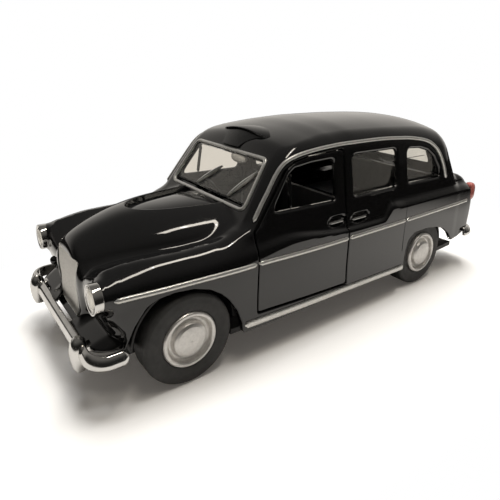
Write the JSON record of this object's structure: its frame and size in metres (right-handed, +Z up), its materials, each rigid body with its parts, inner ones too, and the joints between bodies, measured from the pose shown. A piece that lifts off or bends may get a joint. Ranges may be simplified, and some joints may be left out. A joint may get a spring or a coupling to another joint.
{
  "type": "toy taxi cab",
  "caption": "Die-cast toy of a classic black taxi cab with opening front doors, free-rolling wheels, chrome bumpers and silver grille.",
  "frame": {"origin": "on the ground under the middle of the bounding box", "axes": "+X forward along the cab, +Y to its left, +Z up"},
  "size_m": [0.1218, 0.0458, 0.0469],
  "materials": {
    "black_paint": "gloss",
    "base_plastic": "satin",
    "cabin_plastic": "matte",
    "clear": "gloss",
    "silver_paint": "satin",
    "chrome": "mirror",
    "red_lens": "gloss",
    "black_gloss_plastic": "gloss",
    "steel": "satin",
    "tyre": "matte",
    "hub_silver": "satin"
  },
  "bodies": {
    "cab": {"body_shell": "black_paint", "chassis_base": "base_plastic", "interior_tub": "cabin_plastic", "steering_wheel": "cabin_plastic", "windscreen_glass": "clear", "rear_window_glass": "clear", "side_glass_left": "clear", "side_glass_right": "clear", "grille": "silver_paint", "headlamp_bezel_left": "chrome", "headlamp_bezel_right": "chrome", "headlamp_lens_left": "clear", "headlamp_lens_right": "clear", "tail_lamp_left": "red_lens", "tail_lamp_right": "red_lens", "front_bumper": "chrome", "rear_bumper": "chrome", "roof_sign": "black_gloss_plastic"},
    "left_door": {"front_door_left": "black_paint"},
    "right_door": {"front_door_right": "black_paint"},
    "front_wheels": {"front_axle": "steel", "tyre_front_left": "tyre", "tyre_front_right": "tyre", "hub_front_left": "hub_silver", "hub_front_right": "hub_silver"},
    "rear_wheels": {"rear_axle": "steel", "tyre_rear_left": "tyre", "tyre_rear_right": "tyre", "hub_rear_left": "hub_silver", "hub_rear_right": "hub_silver"}
  },
  "joints": [
    {"name": "left_door_hinge", "type": "hinge", "parent": "cab", "child": "left_door", "pos_m": [0.02535, 0.023, 0.02], "axis": [0, 0, -1], "range_deg": [0, 60]},
    {"name": "right_door_hinge", "type": "hinge", "parent": "cab", "child": "right_door", "pos_m": [0.02535, -0.023, 0.02], "axis": [0, 0, 1], "range_deg": [0, 60]},
    {"name": "front_wheels_spin", "type": "hinge", "parent": "cab", "child": "front_wheels", "pos_m": [0.04075, 0, 0.0094], "axis": [0, 1, 0], "continuous": true},
    {"name": "rear_wheels_spin", "type": "hinge", "parent": "cab", "child": "rear_wheels", "pos_m": [-0.03295, 0, 0.0094], "axis": [0, 1, 0], "continuous": true}
  ]
}
